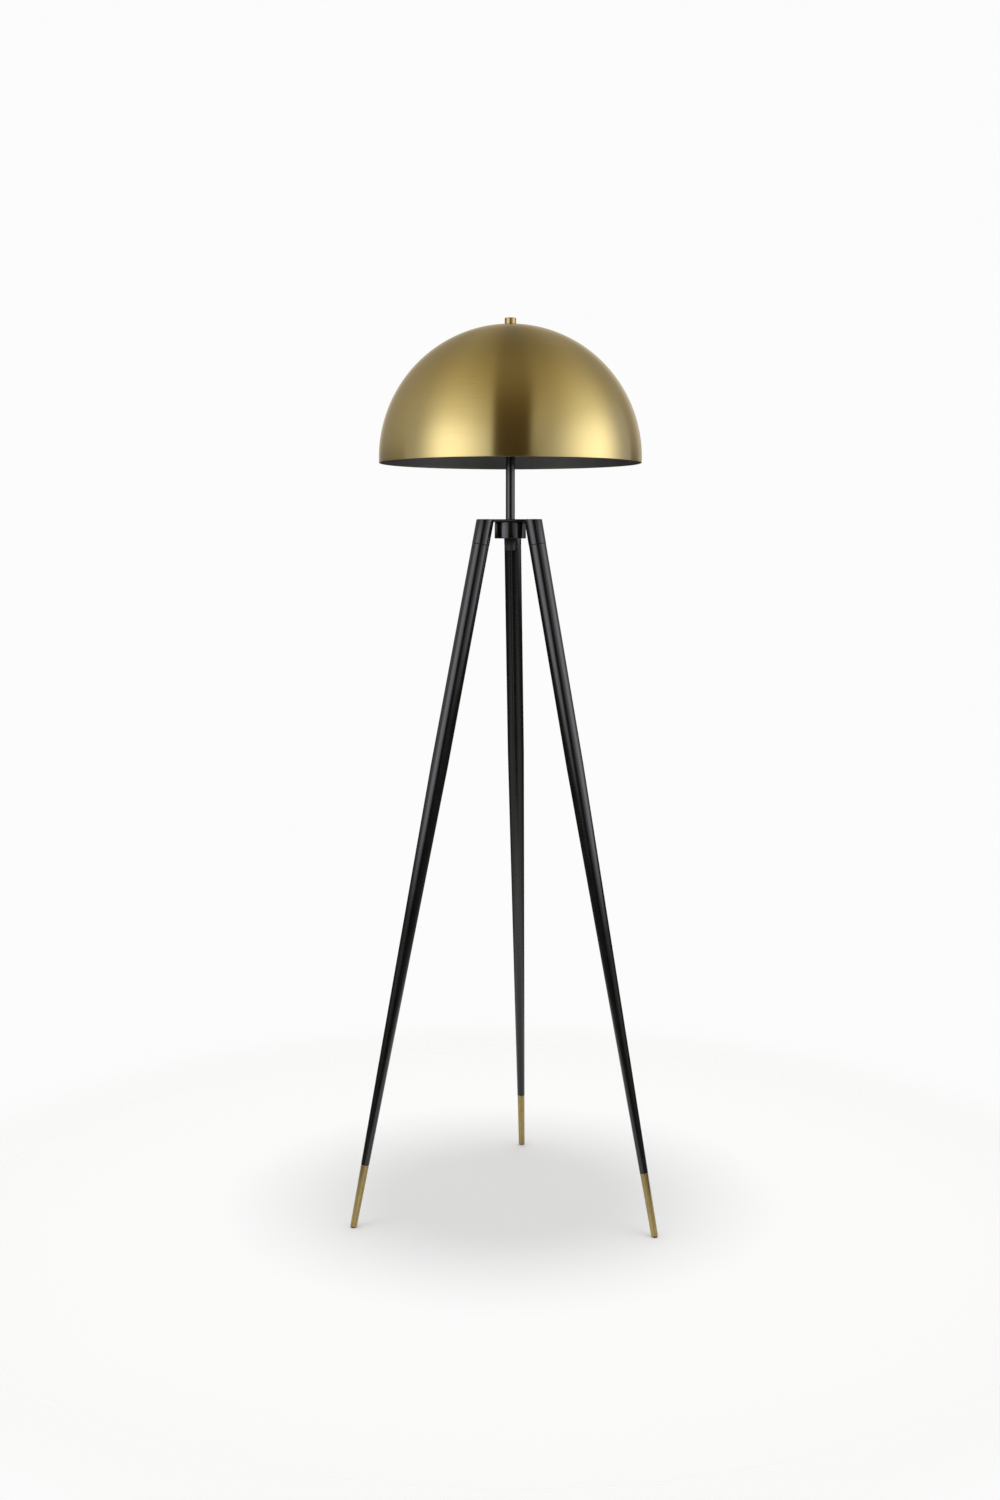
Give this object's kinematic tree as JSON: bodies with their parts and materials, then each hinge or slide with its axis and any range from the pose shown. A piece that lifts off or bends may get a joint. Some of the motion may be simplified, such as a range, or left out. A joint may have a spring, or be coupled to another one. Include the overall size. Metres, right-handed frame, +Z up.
{
  "type": "tripod floor lamp",
  "caption": "Free-standing floor lamp: a dome shade on a harp and short stem, over a hub with splayed tapering legs that end in metal tips.",
  "frame": {"origin": "on the floor, on the vertical axis of the stem and hub, which is the centre of the circle through the three feet", "axes": "+Z up along the stem, -Y towards the lamp's front between the two front legs, +Y along the rear leg, +X to the right seen from the front"},
  "size_m": [0.5376, 0.538, 1.579],
  "materials": {
    "shade_brass": "satin brushed brass outside, satin black paint inside",
    "finial_brass": "satin turned brass",
    "tip_brass": "lengthwise brushed brass",
    "black_coat": "satin black powder coat",
    "harp_brass": "bright brass plate",
    "zinc_steel": "zinc plated",
    "contact_brass": "bare brass",
    "phenolic": "moulded black phenolic",
    "liner_board": "fibre board",
    "knob_plastic": "moulded black",
    "bushing_nylon": "moulded black nylon",
    "lead_insulation": "clear gold insulation over copper",
    "connector_plastic": "moulded orange",
    "bulb_opal": "opal white glass",
    "bulb_metal": "rolled aluminium screw cap",
    "bulb_black_glass": "black vitrite",
    "clear_glass": "clear glass mount",
    "filament_yellow": "phosphor coated filaments",
    "pad_rubber": "moulded black pad"
  },
  "bodies": {
    "stand": {"cord_bushing": "bushing_nylon", "foot_glide_left": "pad_rubber", "foot_glide_rear": "pad_rubber", "foot_glide_right": "pad_rubber", "foot_tip_left": "tip_brass", "foot_tip_rear": "tip_brass", "foot_tip_right": "tip_brass", "harp": "harp_brass", "harp_saddle": "harp_brass", "harp_stud": "harp_brass", "hub_cover": "black_coat", "hub_cover_screws": "zinc_steel", "hub_drum": "black_coat", "hub_plate": "black_coat", "lampholder_cap": "black_coat", "lampholder_contact": "contact_brass", "lampholder_insulator": "phenolic", "lampholder_liner": "liner_board", "lampholder_screw_shell": "contact_brass", "lampholder_shell": "black_coat", "lead_wires": "lead_insulation", "leg_inserts": "zinc_steel", "leg_socket_left": "black_coat", "leg_socket_rear": "black_coat", "leg_socket_right": "black_coat", "leg_studs": "zinc_steel", "leg_tube_left": "black_coat", "leg_tube_rear": "black_coat", "leg_tube_right": "black_coat", "saddle_locknut": "zinc_steel", "stem_bush_lower": "zinc_steel", "stem_bush_upper": "zinc_steel", "stem_check_ring": "black_coat", "stem_lock_washer": "zinc_steel", "stem_locknut": "zinc_steel", "stem_nipple_lower": "zinc_steel", "stem_nipple_upper": "zinc_steel", "stem_tube": "black_coat", "terminal_screws": "zinc_steel", "tip_spigots": "zinc_steel", "wire_connectors": "connector_plastic"},
    "shade": {"shade_dome": "shade_brass", "shade_seat_ring": "zinc_steel"},
    "finial_washer": {"finial_washer": "finial_brass"},
    "finial": {"finial": "finial_brass"},
    "switch": {"switch_shaft": "contact_brass", "switch_knob": "knob_plastic"},
    "bulb": {"bulb_glass": "bulb_opal", "bulb_cap": "bulb_metal", "bulb_insulator": "bulb_black_glass", "bulb_contact": "contact_brass", "bulb_mount": "clear_glass", "bulb_filament": "filament_yellow"},
    "sleeve_left": {"harp_sleeve_left": "harp_brass"},
    "sleeve_right": {"harp_sleeve_right": "harp_brass"}
  },
  "joints": [
    {"name": "shade_lift", "type": "slide", "parent": "stand", "child": "shade", "axis": [0, 0, 1], "range_m": [0, 0.255]},
    {"name": "finial_rise", "type": "slide", "parent": "shade", "child": "finial_washer", "axis": [0, 0, 1], "range_m": [0, 0.0081]},
    {"name": "finial_turn", "type": "hinge", "parent": "finial_washer", "child": "finial", "pos_m": [0, 0, 1.574], "axis": [0, 0, 1], "range_deg": [0, 3061.4]},
    {"name": "switch_turn", "type": "hinge", "parent": "stand", "child": "switch", "pos_m": [0, -0.02, 1.3817], "axis": [0, 1, 0], "continuous": true},
    {"name": "bulb_out", "type": "slide", "parent": "stand", "child": "bulb", "axis": [0, 0, 1], "range_m": [0, 0.028]},
    {"name": "sleeve_left_slide", "type": "slide", "parent": "stand", "child": "sleeve_left", "axis": [0, 0, 1], "range_m": [0, 0.01]},
    {"name": "sleeve_right_slide", "type": "slide", "parent": "stand", "child": "sleeve_right", "axis": [0, 0, 1], "range_m": [0, 0.01]}
  ],
  "couplings": [
    {"joint": "finial_rise", "follows": "finial_turn", "m_per_rad": 0.00014972}
  ]
}
